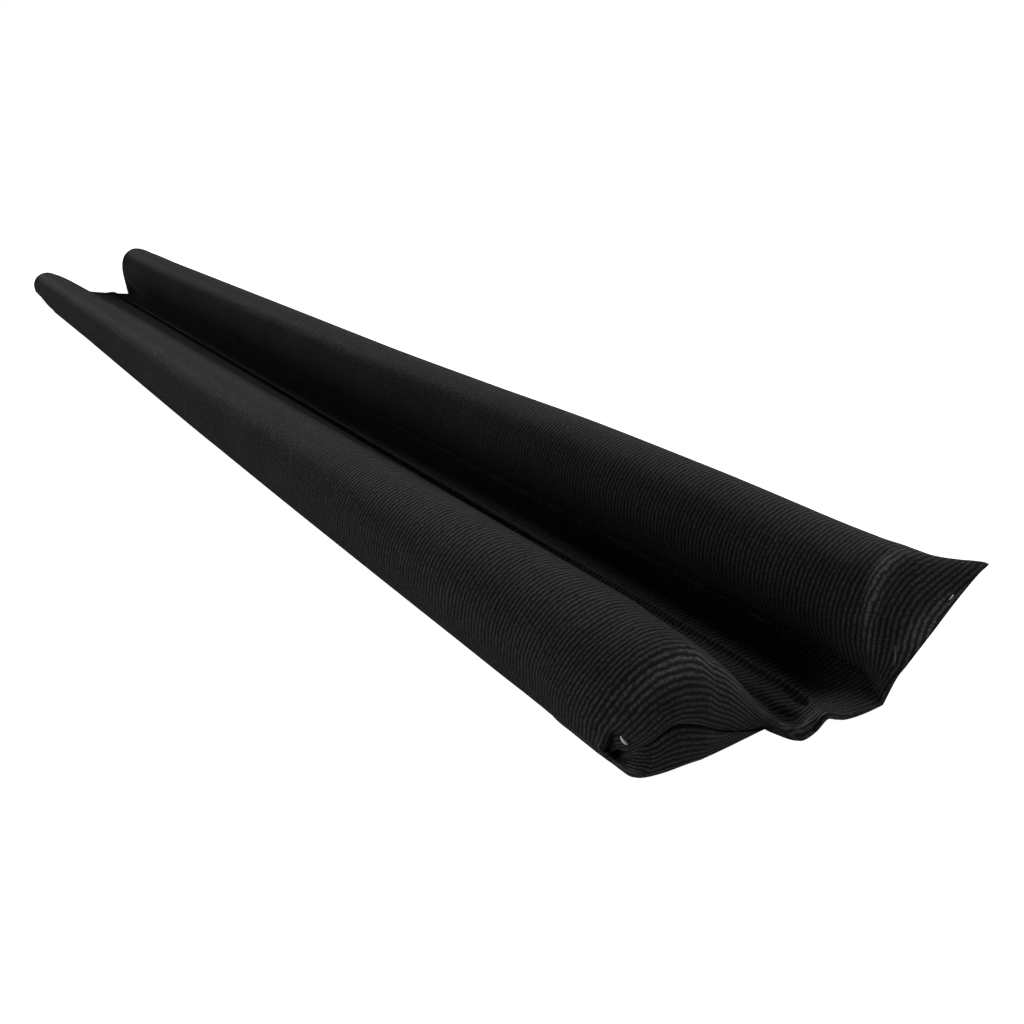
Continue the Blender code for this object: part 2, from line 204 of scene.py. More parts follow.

# Creases listed where the cloth bunches at the near end and along the web's seam: points along each
# crease, half its width there, how far it stands out (or, below zero, sinks in), and a tone.
# The tone paints light and shade into the cloth's colour. Above zero it is a painted highlight,
# mostly on the rims, ridges and shoulder. Below zero it is painted shade, mostly in the folds,
# hollows and grooves and beside the tuck. Its values were set to bring the cloth's brightness nearer
# to the measured brightness.  It isn't known how much of that is the cloth and how much is the
# light.
# Bounds of the tone, from the deepest painted shade to the brightest painted highlight, and how
# bright the cloth's colour is at each.
DARKEST_TONE = -1.0
PALEST_TONE = 2.0
DARKEST_SHARE = 0.25            # how bright the cloth's colour is at the darkest tone
PALEST_SHARE = 2.5              # and at the palest one, against 1 where there is no crease
THINNEST = 0.035                # the least that the upper cloth stays above the lower one
CREASE_COLUMNS = ("crease", "side", "x", "y", "z", "width", "height", "tone")
CREASE_ROWS = (
    ("valley", "top", -1.90, 2.47, 0.12, 0.10, 0.00, 0.0),
    ("valley", "top", -1.35, 2.47, 0.12, 0.10, -0.05, -0.4),
    ("valley", "top", -0.97, 2.44, 0.12, 0.10, -0.08, -0.6),
    ("valley", "top", -0.62, 2.38, 0.12, 0.10, -0.08, -0.6),
    ("valley", "top", -0.45, 2.28, 0.12, 0.09, -0.03, -0.2),
    ("corner fold", "both", -0.76, -0.68, 1.04, 0.07, 0.00, -0.3),
    ("corner fold", "both", -0.81, -0.72, 0.85, 0.09, -0.09, -0.8),
    ("corner fold", "both", -0.85, -0.72, 0.65, 0.10, -0.16, -1.0),
    ("corner fold", "both", -0.91, -0.66, 0.47, 0.12, -0.18, -1.0),
    ("corner fold", "both", -0.84, -0.58, 0.38, 0.10, -0.05, -0.8),
    ("corner rim", "both", -0.76, -0.66, 1.08, 0.06, 0.00, 0.8),
    ("corner rim", "both", -0.86, -0.70, 0.88, 0.07, 0.08, 2.0),
    ("corner rim", "both", -0.97, -0.77, 0.63, 0.07, 0.09, 2.2),
    ("corner rim", "both", -1.01, -0.76, 0.43, 0.07, 0.04, 1.6),
    ("end arc", "under", -0.72, -0.21, 0.47, 0.08, 0.00, 0.8),
    ("end arc", "under", -0.68, -0.27, 0.40, 0.07, 0.10, 2.2),
    ("end arc", "under", -0.69, -0.45, 0.31, 0.07, 0.10, 2.2),
    ("end arc", "under", -0.72, -0.58, 0.25, 0.07, 0.00, 0.8),
    ("shoulder", "top", -0.74, -0.55, 1.40, 0.16, 0.00, 0.5),
    ("shoulder", "top", -0.64, -0.25, 1.58, 0.18, 0.01, 1.3),
    ("shoulder", "top", -0.62, 0.05, 1.68, 0.18, 0.02, 1.6),
    ("shoulder", "top", -0.65, 0.35, 1.70, 0.17, 0.02, 1.6),
    ("shoulder", "top", -0.68, 0.65, 1.62, 0.16, 0.02, 1.3),
    ("shoulder", "top", -0.69, 1.00, 1.32, 0.14, 0.01, 0.9),
    ("shoulder", "top", -0.62, 1.50, 0.80, 0.12, 0.00, 0.4),
    ("tuck hollow", "top", -0.70, 2.45, 0.12, 0.10, -0.02, -0.5),
    ("tuck hollow", "top", -0.58, 2.46, 0.12, 0.13, -0.07, -1.2),
    ("tuck hollow", "top", -0.45, 2.46, 0.12, 0.14, -0.08, -1.3),
    ("tuck hollow", "top", -0.32, 2.45, 0.11, 0.11, -0.03, -1.0),
    ("tuck rim", "top", -0.54, 2.18, 0.11, 0.08, 0.03, 0.3),
    ("tuck rim", "top", -0.27, 2.10, 0.10, 0.09, 0.08, 0.6),
    ("tuck rim", "top", -0.10, 2.17, 0.09, 0.09, 0.09, 0.0),
    ("tuck rim", "top", -0.08, 2.42, 0.11, 0.09, 0.06, -0.4),
    ("tuck rim", "top", -0.21, 2.78, 0.16, 0.08, 0.01, -0.3),
    ("seam groove", "top", -47.2, 2.90, 0.10, 0.05, 0.00, 0.0),
    ("seam groove", "top", -46.4, 2.90, 0.12, 0.05, -0.04, -0.9),
    ("seam groove", "top", -16.7, 2.90, 0.12, 0.05, -0.04, -0.9),
    ("seam groove", "top", -8.00, 2.90, 0.12, 0.05, -0.03, -0.6),
    ("seam groove", "top", -4.50, 2.90, 0.12, 0.04, 0.00, 0.0),
    ("seam ridge", "top", -47.2, 3.02, 0.12, 0.04, 0.00, 0.0),
    ("seam ridge", "top", -46.4, 3.02, 0.14, 0.04, 0.03, 0.8),
    ("seam ridge", "top", -16.7, 3.02, 0.14, 0.04, 0.03, 0.8),
    ("seam ridge", "top", -8.00, 3.02, 0.14, 0.04, 0.02, 0.4),
    ("seam ridge", "top", -4.50, 3.02, 0.14, 0.04, 0.00, 0.0),
    ("tuck side", "top", -0.02, 2.48, 0.26, 0.10, 0.00, -0.8),
    ("tuck side", "top", -0.10, 2.66, 0.32, 0.15, 0.00, -1.0),
    ("tuck side", "top", -0.30, 2.76, 0.25, 0.13, 0.00, -0.8),
    ("web line", "top", -1.10, 2.93, 0.14, 0.05, 0.00, 0.0),
    ("web line", "top", -0.71, 2.84, 0.12, 0.05, -0.04, -0.7),
    ("web line", "top", -0.46, 2.86, 0.13, 0.05, -0.04, -0.8),
    ("web line", "top", -0.36, 2.92, 0.16, 0.05, 0.00, -0.3),
    ("end ridge", "top", -0.80, 5.15, 2.00, 0.10, 0.00, 1.2),
    ("end ridge", "top", -0.77, 4.72, 1.91, 0.11, 0.07, 2.2),
    ("end ridge", "top", -0.71, 4.42, 1.73, 0.11, 0.09, 2.2),
    ("end ridge", "top", -0.62, 4.24, 1.47, 0.11, 0.09, 1.9),
    ("end ridge", "top", -0.57, 4.17, 1.17, 0.10, 0.07, 1.4),
    ("end ridge", "top", -0.50, 4.17, 0.85, 0.09, 0.04, 0.8),
    ("end ridge", "top", -0.39, 4.20, 0.44, 0.09, 0.00, 0.2),
    ("end hollow", "top", -0.32, 5.19, 1.77, 0.18, -0.02, 0.2),
    ("end hollow", "top", -0.40, 4.73, 1.60, 0.18, -0.05, 0.1),
    ("end hollow", "top", -0.30, 4.50, 1.20, 0.16, -0.05, 0.1),
    ("end hollow", "top", -0.24, 4.36, 0.80, 0.14, -0.01, 0.0),
    ("pulled flap", "top", -0.12, 4.30, 0.62, 0.10, 0.00, 0.5),
    ("pulled flap", "top", -0.08, 4.75, 1.00, 0.20, 0.02, 1.8),
    ("pulled flap", "top", -0.03, 5.25, 1.36, 0.14, 0.01, 1.4),
    ("pulled flap", "top", -0.01, 5.60, 1.56, 0.10, 0.00, 0.1),
)


def table(columns, rows):
    """Rows of a table as dictionaries."""
    return [dict(zip(columns, row)) for row in rows]


def mix(first, last, share):
    """Value part of the way from first to last."""
    return first + (last - first) * share


def smooth_step(value):
    """0 below 0, 1 above 1, and a smooth rise between."""
    share = np.clip(value, 0.0, 1.0)
    return share * share * (3.0 - 2.0 * share)


def rounded_line(guides):
    """Smooth curve through the guide points, as many close points."""
    line = []
    for index in range(len(guides) - 1):
        before = guides[max(index - 1, 0)]
        start = guides[index]
        end = guides[index + 1]
        after = guides[min(index + 2, len(guides) - 1)]
        for step in range(FINE_STEPS):
            t = step / FINE_STEPS
            point = 0.5 * (2.0 * start + (end - before) * t
                           + (2.0 * before - 5.0 * start + 4.0 * end - after) * t * t
                           + (3.0 * start - before - 3.0 * end + after) * t * t * t)
            line.append(point)
    line.append(guides[-1].copy())
    return line


def evenly(guides, steps):
    """Points spaced evenly along the rounded line through the guide points."""
    line = rounded_line(guides)
    lengths = [0.0]
    for first, last in zip(line, line[1:]):
        lengths.append(lengths[-1] + (last - first).length)
    points = []
    place = 0
    for step in range(steps + 1):
        wanted = lengths[-1] * step / steps
        while place < len(line) - 2 and lengths[place + 1] < wanted:
            place += 1
        span = max(lengths[place + 1] - lengths[place], 1e-9)
        points.append(line[place].lerp(line[place + 1], min((wanted - lengths[place]) / span, 1.0)))
    return points


def on_roll(centre_y, radius, degrees):
    """Point of a roll's round section, flattened where it rests."""
    angle = math.radians(degrees)
    height = radius * (1.0 - SETTLE) + radius * math.sin(angle)
    return Vector((0.0, centre_y + radius * math.cos(angle), max(height, 0.0)))


def joined(front, web, rear):
    """One line from three that share their end points."""
    return front + web[1:] + rear[1:]


def top_of_section(row):
    """Upper cloth of a section, from the front roll's outer fold to the rear roll's."""
    front_y = row["front_y"]
    front_radius = row["front_radius"]
    fold = row["front_fold"]
    front = [on_roll(front_y, front_radius, mix(fold, 90, step / 4)) for step in range(5)]
    front += [on_roll(front_y, front_radius, degrees) for degrees in (62, 35)]
    hugging = (on_roll(front_y, front_radius, 8), on_roll(front_y, front_radius, -22),
               Vector((0.0, front_y + HUG_REACH * front_radius, HUG_Z)))
    for close, bend in zip(hugging, table(FLANK_COLUMNS, FLANK_ROWS)):
        front.append(close.lerp(Vector((0.0, bend["y"], bend["z"])), row["flank"]))
    front.append(Vector((0.0, FRONT_FOOT_Y, WEB_TOP)))
    stitch_top = WEB_TOP + STITCH_RISE
    web = [Vector((0.0, FRONT_FOOT_Y, WEB_TOP)),
           Vector((0.0, STITCH_Y - 3.0 * STITCH_HALF_WIDTH, WEB_TOP)),
           Vector((0.0, STITCH_Y - STITCH_HALF_WIDTH, WEB_TOP)),
           Vector((0.0, STITCH_Y, stitch_top)),
           Vector((0.0, STITCH_Y + STITCH_HALF_WIDTH, WEB_TOP)),
           Vector((0.0, REAR_FOOT_Y - 2.0 * STITCH_HALF_WIDTH, WEB_TOP)),
           Vector((0.0, REAR_FOOT_Y, stitch_top))]
    rear_y = row["rear_y"]
    rear_radius = row["rear_radius"]
    rear = [Vector((0.0, REAR_FOOT_Y, stitch_top)),
            Vector((0.0, rear_y - REAR_TUCK_REACH * rear_radius, REAR_TUCK_Z))]
    rear += [on_roll(rear_y, rear_radius, degrees) for degrees in (214, 190, 160, 130)]
    rear += [on_roll(rear_y, rear_radius, mix(100, row["rear_fold"], step / 4))
             for step in range(5)]
    return joined(evenly(front, FRONT_STEPS), evenly(web, WEB_STEPS), evenly(rear, REAR_STEPS))


def underside_of_section(row):
    """Lower cloth of a section: round outside the rolls, flat on the floor between them."""
    front_y = row["front_y"]
    front_radius = row["front_radius"]
    rear_y = row["rear_y"]
    rear_radius = row["rear_radius"]
    front = [on_roll(front_y, front_radius, mix(row["front_fold"], 250, step / 4))
             for step in range(4)]
    front += [Vector((0.0, front_y - RESTING_REACH * front_radius, 0.0)),
              Vector((0.0, FRONT_FOOT_Y, 0.0))]
    web = [Vector((0.0, FRONT_FOOT_Y, 0.0)), Vector((0.0, REAR_FOOT_Y, 0.0))]
    rear = [Vector((0.0, REAR_FOOT_Y, 0.0)),
            Vector((0.0, rear_y + RESTING_REACH * rear_radius, 0.0))]
    rear += [on_roll(rear_y, rear_radius, mix(290, 360 + row["rear_fold"], step / 5))
             for step in range(1, 6)]
    line = joined(evenly(front, FRONT_STEPS), evenly(web, WEB_STEPS), evenly(rear, REAR_STEPS))
    for point in line:
        point.z = max(point.z, 0.0)
    return line


def rear_share(index):
    """0 over the front pocket, 1 over the web and the rear pocket, with a quick change between."""
    past_foot = index - FRONT_STEPS - VALLEY_START
    return float(smooth_step(past_foot / (VALLEY_END - VALLEY_START)))


def section_ring(row, hem, edge_x):
    """Upper and lower cloth of one full section, placed along the rolls."""
    top = top_of_section(row)
    under = underside_of_section(row)
    for upper, lower, edge in zip(top, under, hem[0]):
        upper.x = row["x"] + row["follow"] * (edge.x - edge_x)
        lower.x = upper.x
    return top, under


def hem_ring(rows, pinch):
    """Upper and lower side of a pressed hem that follows the middle line in the table."""
    lines = {"front": [], "web": [], "rear": []}
    last_pocket = None
    for row in table(HEM_COLUMNS, rows):
        point = Vector((row["x"], row["y"], row["z"]))
        if last_pocket and last_pocket != row["pocket"]:
            lines[row["pocket"]].append(lines[last_pocket][-1].copy())
        lines[row["pocket"]].append(point)
        last_pocket = row["pocket"]
    middle = joined(evenly(lines["front"], FRONT_STEPS), evenly(lines["web"], WEB_STEPS),
                    evenly(lines["rear"], REAR_STEPS))
    top = []
    under = []
    for index, point in enumerate(middle):
        along = middle[min(index + 1, len(middle) - 1)] - middle[max(index - 1, 0)]
        across = Vector((0.0, -along.z, along.y)).normalized()
        open_share = min(max((index - FRONT_STEPS) / PINCH_SPREAD + 1.0, 0.0), 1.0)
        half = HEM_HALF * mix(pinch, 1.0, open_share)
        top.append(point + across * half)
        lower = point - across * half
        lower.z = max(lower.z, 0.0)
        under.append(lower)
    for line in (top, under):
        for end in (0, -1):
            line[end] = middle[end].copy()
    return top, under


def closing_line(full_line, hem_line, row, outward):
    """One side of the cloth on its way from the last full section to the hem."""
    line = []
    for index, (start, end) in enumerate(zip(full_line, hem_line)):
        blend = rear_share(index)
        point = start.lerp(end, mix(row["front_share"], row["rear_share"], blend))
        setback = mix(row["front_set"], row["rear_set"], blend)
        if setback < 0.0:
            setback *= min(end.z / SWELL_HEIGHT, 1.0)
        point.x = end.x - outward * setback
        line.append(point)
    return line


def closing_rings(full, hem, rows, outward):
    """Rings between the last full section and the hem, each with its station."""
    rings = {}
    for row in table(CLOSING_COLUMNS, rows):
        ring = rings.setdefault(row["station"], {})
        side = 0 if row["side"] == "top" else 1
        ring[row["side"]] = closing_line(full[side], hem[side], row, outward)
    return [(station, (ring["top"], ring["under"])) for station, ring in rings.items()]


def key_rings():
    """The sections and hems that the sleeve passes through, from the far end to the near end."""
    far_hem = hem_ring(FAR_HEM_ROWS, 1.0)
    near_hem = hem_ring(NEAR_HEM_ROWS, PINCH)
    full = []
    for row in table(SECTION_COLUMNS, SECTION_ROWS):
        near = row["x"] > 0.5 * FAR_EDGE_X
        ring = section_ring(row, near_hem if near else far_hem, 0.0 if near else FAR_EDGE_X)
        full.append((row["x"], ring))
    keys = [(FAR_HEM_STATION, far_hem)]
    keys += closing_rings(full[0][1], far_hem, FAR_CLOSING_ROWS, -1.0)
    keys += full
    keys += closing_rings(full[-1][1], near_hem, NEAR_CLOSING_ROWS, 1.0)
    keys.append((NEAR_HEM_STATION, near_hem))
    return keys


def ring_stations():
    """Every station that gets a ring of corners."""
    stations = []
    for row in table(RING_COLUMNS, RING_ROWS):
        stations += list(np.linspace(row["first"], row["last"], row["count"]))
    return np.array(stations)


def key_slopes(stations, values):
    """Slopes for smooth curves that never pass beyond the values they join."""
    gaps = np.diff(stations)[:, None, None]
    rates = np.diff(values, axis=0) / gaps
    before = rates[:-1]
    after = rates[1:]
    weight_before = 2.0 * gaps[1:] + gaps[:-1]
    weight_after = gaps[1:] + 2.0 * gaps[:-1]
    same_way = before * after > 0.0
    safe_before = np.where(same_way, before, 1.0)
    safe_after = np.where(same_way, after, 1.0)
    inner = (weight_before + weight_after) / (weight_before / safe_before
                                              + weight_after / safe_after)
    inner = np.where(same_way, inner, 0.0)
    return np.concatenate([rates[:1], inner, rates[-1:]])


def curve_between(stations, values, wanted):
    """Values of smooth curves through the keys, at the wanted stations."""
    leaning = key_slopes(stations, values)
    place = np.clip(np.searchsorted(stations, wanted, side="right") - 1, 0, len(stations) - 2)
    gap = (stations[place + 1] - stations[place])[:, None, None]
    t = np.clip((wanted - stations[place])[:, None, None] / gap, 0.0, 1.0)
    squared = t * t
    cubed = squared * t
    return ((2.0 * cubed - 3.0 * squared + 1.0) * values[place]
            + (cubed - 2.0 * squared + t) * gap * leaning[place]
            + (3.0 * squared - 2.0 * cubed) * values[place + 1]
            + (cubed - squared) * gap * leaning[place + 1])


def sleeve_rings():
    """All rings of the sleeve: the upper cloth outwards, then the lower cloth back."""
    keys = key_rings()
    stations = np.array([station for station, ring in keys])
    closed = np.array([[tuple(point) for point in top + under[-2:0:-1]]
                       for station, (top, under) in keys])
    wanted = ring_stations()
    rings, painted_shading = creased(curve_between(stations, closed, wanted))
    far_lips = hem_lips(rings[0], -1.0)
    near_lips = hem_lips(rings[-1], 1.0)
    rings = np.concatenate([far_lips[::-1], rings, near_lips])
    spare = len(LIP_ROWS)
    wanted = np.concatenate([[wanted[0]] * spare, wanted, [wanted[-1]] * spare])
    painted_shading = np.concatenate([[painted_shading[0]] * spare, painted_shading, [painted_shading[-1]] * spare])
    rings[..., 2] = np.maximum(rings[..., 2], 0.0)
    return wanted, rings, painted_shading


def outward_directions(rings):
    """Unit directions out of the cloth at every corner."""
    lengthways = np.gradient(rings, axis=0)
    around = np.roll(rings, -1, axis=1) - np.roll(rings, 1, axis=1)
    outward = np.cross(lengthways, around)
    return outward / np.maximum(np.linalg.norm(outward, axis=2, keepdims=True), 1e-9)


def creased(rings):
    """Rings with every crease in the table raised or sunk, and the tone of every corner, which is
    its painted highlight or painted shade.
    """
    outward = outward_directions(rings)
    around = rings.shape[1]
    place = np.arange(around)
    on_side = {"top": place <= around // 2, "under": place >= around // 2,
               "both": place < around}
    creases = {}
    for row in table(CREASE_COLUMNS, CREASE_ROWS):
        creases.setdefault(row["crease"], []).append(row)
    move = np.zeros(rings.shape[:2])
    painted_shading = np.zeros(rings.shape[:2])
    for rows in creases.values():
        nearest = np.full(rings.shape[:2], np.inf)
        height = np.zeros(rings.shape[:2])
        tone = np.zeros(rings.shape[:2])
        for first, last in zip(rows, rows[1:]):
            start = np.array([first["x"], first["y"], first["z"]])
            span = np.array([last["x"], last["y"], last["z"]]) - start
            t = np.clip(((rings - start) @ span) / (span @ span), 0.0, 1.0)
            gap = np.linalg.norm(rings - start - t[..., None] * span, axis=2)
            wide = mix(first["width"], last["width"], t)
            fading = np.exp(-(gap / wide) ** 2)
            closer = gap < nearest
            height = np.where(closer, mix(first["height"], last["height"], t) * fading, height)
            tone = np.where(closer, mix(first["tone"], last["tone"], t) * fading, tone)
            nearest = np.where(closer, gap, nearest)
        move += height * on_side[rows[0]["side"]]
        painted_shading += tone * on_side[rows[0]["side"]]
    moved = rings + outward * move[..., None]
    opposite = moved[:, (-place) % around]
    lowest = np.where(place < around // 2, opposite[..., 2] + THINNEST, 0.0)
    moved[..., 2] = np.maximum(moved[..., 2], np.minimum(lowest, rings[..., 2]))
    return moved, painted_shading


def cloth_positions(stations, rings):
    """Length along and across the cloth for each corner, as if it lay flat, in roll radii."""
    rows = np.array(LENGTH_ROWS)
    lengths = curve_between(rows[:, 0], rows[:, None, 1:], np.minimum(stations, rows[-1, 0]))
    half = FRONT_STEPS + WEB_STEPS + REAR_STEPS
    place = np.arange(rings.shape[1])
    upper = np.where(place <= half, place, 2 * half - place)
    rear = np.array([rear_share(index) for index in upper])
    along = lengths[:, :, 0] * (1.0 - rear) + lengths[:, :, 1] * rear
    steps_along = np.linalg.norm(np.diff(rings, axis=0), axis=2)
    measured = (stations[:-1] >= rows[-1, 0])[:, None]
    added = np.cumsum(np.where(measured, steps_along, 0.0), axis=0)
    front_middle = abs(upper - FRONT_STEPS // 2) < FRONT_STEPS // 4
    front_added = added[:, front_middle].mean(axis=1, keepdims=True) * FRONT_GATHER
    end_start = front_added[np.argmin(abs(stations - END_START))]
    front_added = front_added + np.maximum(front_added - end_start, 0.0) * END_GATHER
    foot_share = smooth_step((upper / FRONT_STEPS - FOOT_START) / (1.0 - FOOT_START)) * FOOT_OWN
    front_added = mix(front_added, np.minimum(added * FRONT_GATHER, front_added), foot_share)
    rear_middle = added[:, upper > half - REAR_STEPS].mean(axis=1, keepdims=True)
    rear_added = mix(added, rear_middle, REAR_EVENNESS) * REAR_GATHER
    along[1:] += front_added * (1.0 - rear) + rear_added * rear
    closed = np.concatenate([rings, rings[:, :1]], axis=1)
    steps_across = np.linalg.norm(np.diff(closed, axis=1), axis=2)
    across = np.concatenate([[0.0], np.cumsum(steps_across.mean(axis=0))])
    return along, across


def hem_lips(ring, outward):
    """Rings that round off one pressed hem, from its last ring to its edge."""
    half = FRONT_STEPS + WEB_STEPS + REAR_STEPS
    place = np.arange(len(ring))
    opposite = ring[(2 * half - place) % len(ring)]
    middle = (ring + opposite) / 2
    upper = np.where(place <= half, place, 2 * half - place)
    pocket = 1.0 - smooth_step((upper - FRONT_STEPS + LIP_SPREAD - 1.0) / LIP_SPREAD)
    lips = []
    for row in table(LIP_COLUMNS, LIP_ROWS):
        lip = middle + (ring - middle) * row["thickness"]
        drawn_in = pocket if outward > 0 else 0.0
        out = row["out"] * (1.0 - drawn_in) + row["front_out"] * drawn_in
        lip[:, 0] += outward * out
        lips.append(lip)
    return lips


def sleeve_cloth(name):
    """Closed skin over the rings, placed where the solid sleeve lies, in metres."""
    stations, rings, painted_shading = sleeve_rings()
    along, across = cloth_positions(stations, rings)
    rings = rings * ROLL_RADIUS
    along = (along - along.min()) * ROLL_RADIUS
    across = across * ROLL_RADIUS
    corners = rings.reshape(-1, 3) + np.array([ALONG_SHIFT, ACROSS_SHIFT, 0.0]) * ROLL_RADIUS
    around = rings.shape[1]
    faces = []
    places = []
    for ring in range(len(rings) - 1):
        for place in range(around):
            following = (place + 1) % around
            faces.append((ring * around + place, (ring + 1) * around + place,
                          (ring + 1) * around + following, ring * around + following))
            places += [(across[place], along[ring][place]),
                       (across[place], along[ring + 1][place]),
                       (across[place + 1], along[ring + 1][following]),
                       (across[place + 1], along[ring][following])]
    half = around // 2
    for ring, outward in ((0, True), (len(rings) - 1, False)):
        start = ring * around
        for place in range(half):
            upper = (start + place, start + place + 1)
            lower = (start + (around - place) % around, start + around - place - 1)
            if place == 0:
                face = (upper[0], upper[1], lower[1])
            elif place == half - 1:
                face = (upper[0], upper[1], lower[0])
            else:
                face = (upper[0], upper[1], lower[1], lower[0])
            face = face if outward else face[::-1]
            faces.append(face)
            places += [(across[place], along[ring][place])] * len(face)
    mesh = bpy.data.meshes.new(name)
    mesh.from_pydata([tuple(corner) for corner in corners], [], faces)
    layer = mesh.uv_layers.new(name="cloth")
    layer.uv.foreach_set("vector", np.array(places, dtype=np.float32).ravel())
    # The tone goes onto the cloth as painted highlight and painted shade along its creases.
    tone = mesh.attributes.new("tone", "FLOAT", "POINT")
    tone.data.foreach_set("value", np.clip(painted_shading.ravel(), DARKEST_TONE, PALEST_TONE))
    mesh.update()
    mesh.polygons.foreach_set("use_smooth", [True] * len(mesh.polygons))
    piece = bpy.data.objects.new(name, mesh)
    bpy.context.scene.collection.objects.link(piece)
    return piece


RIB_PITCH = 0.00185             # from one rib of the cloth to the next
LOOP_PITCH = 0.00140            # from one knitted loop to the next along a rib
# The grooves' colour is painted shade, darker than the rib tops. A rib is also darker between two
# loops, as painted shade.
RIB_COLOUR = (0.042, 0.042, 0.044, 1.0)
SHADED_GROOVE_COLOUR = (0.006, 0.006, 0.0064, 1.0)
NAP_TINT = (0.8, 0.82, 0.86, 1.0)
RIB_SWAY = 0.0009               # how far the ribs wander, over about a thumb's width
RIB_SHIVER = 0.0011             # how far they wander from loop to loop
LOOP_SHIVER = 0.0030            # how far the loops wander along a rib
RIB_ROUNDING = 1.1              # above 1 the ribs are narrower than the grooves
LOOP_GAP_SHADE = 0.17               # how much darker a rib is between two loops
YARN_HEIGHT = 0.35              # height of the yarn's roughness, in rib heights
RIB_HEIGHT = 0.00028


def add_node(tree, kind, **settings):
    """A node of that kind in the tree, with its settings made."""
    node = tree.nodes.new(kind)
    for key, value in settings.items():
        setattr(node, key, value)
    return node


def worked_out(tree, operation, *inputs):
    """Result of a sum on numbers and on other nodes' results."""
    node = add_node(tree, "ShaderNodeMath", operation=operation)
    for socket, value in zip(node.inputs, inputs):
        if isinstance(value, float):
            socket.default_value = value
        else:
            tree.links.new(value, socket)
    return node.outputs[0]


def spread_over(tree, value, low, high, first, last):
    """Value between low and high, turned into one between first and last."""
    node = add_node(tree, "ShaderNodeMapRange")
    for socket, number in zip(node.inputs[1:5], (low, high, first, last)):
        socket.default_value = number
    tree.links.new(value, node.inputs["Value"])
    return node.outputs[0]


def cloudy(tree, place, scale, detail, roughness=0.5):
    """Soft random pattern, from 0 to 1."""
    node = add_node(tree, "ShaderNodeTexNoise")
    node.inputs["Scale"].default_value = scale
    node.inputs["Detail"].default_value = detail
    node.inputs["Roughness"].default_value = roughness
    tree.links.new(place, node.inputs["Vector"])
    return node.outputs["Fac"]


def rib_weave_group():
    """Ribs and fine yarn as a height and a shade, from the cloth's own lengths in metres."""
    tree = bpy.data.node_groups.new("rib_weave", "ShaderNodeTree")
    for name, way, kind in (("Cloth", "INPUT", "Vector"), ("Place", "INPUT", "Vector"),
                            ("Pitch", "INPUT", "Float"), ("Height", "OUTPUT", "Float"),
                            ("Shade", "OUTPUT", "Float"), ("Patches", "OUTPUT", "Float")):
        tree.interface.new_socket(name, in_out=way, socket_type="NodeSocket" + kind)
    entry = add_node(tree, "NodeGroupInput")
    leave = add_node(tree, "NodeGroupOutput")
    parts = add_node(tree, "ShaderNodeSeparateXYZ")
    tree.links.new(entry.outputs["Cloth"], parts.inputs[0])
    place = entry.outputs["Place"]

    drift = cloudy(tree, place, 90.0, 2.0)
    shiver = cloudy(tree, place, 420.0, 2.0)
    swaying = worked_out(tree, "MULTIPLY_ADD", drift, RIB_SWAY, parts.outputs["Y"])
    shaken = worked_out(tree, "MULTIPLY_ADD", shiver, RIB_SHIVER, swaying)
    rib_count = worked_out(tree, "DIVIDE", shaken, entry.outputs["Pitch"])
    rib_turn = worked_out(tree, "MULTIPLY", rib_count, 2.0 * math.pi)
    rib_wave = worked_out(tree, "COSINE", rib_turn)
    ridge = worked_out(tree, "MULTIPLY_ADD", rib_wave, 0.5, 0.5)
    rounded = worked_out(tree, "POWER", ridge, RIB_ROUNDING)

    loop_place = worked_out(tree, "MULTIPLY_ADD", shiver, LOOP_SHIVER, parts.outputs["X"])
    loop_turn = worked_out(tree, "MULTIPLY", loop_place, 2.0 * math.pi / LOOP_PITCH)
    loop_wave = worked_out(tree, "COSINE", loop_turn)
    loops = worked_out(tree, "MULTIPLY_ADD", loop_wave, LOOP_GAP_SHADE, 1.0 - LOOP_GAP_SHADE)

    yarn_place = add_node(tree, "ShaderNodeMapping")
    yarn_place.inputs["Scale"].default_value = (1000.0, 750.0, 1.0)
    tree.links.new(entry.outputs["Cloth"], yarn_place.inputs["Vector"])
    yarn = cloudy(tree, yarn_place.outputs[0], 1.0, 3.0, 0.6)
    height = worked_out(tree, "MULTIPLY_ADD", yarn, YARN_HEIGHT, rounded)
    # The shade is painted shade, darker in the grooves between the ribs and between the loops, with
    # random specks of the yarn.
    beaded = worked_out(tree, "MULTIPLY", rounded, loops)
    specks = spread_over(tree, yarn, 0.32, 0.68, 0.15, 1.65)
    shade = worked_out(tree, "MULTIPLY", beaded, specks)
    tree.links.new(height, leave.inputs["Height"])
    tree.links.new(shade, leave.inputs["Shade"])
    tree.links.new(cloudy(tree, place, 28.0, 4.0), leave.inputs["Patches"])
    return tree


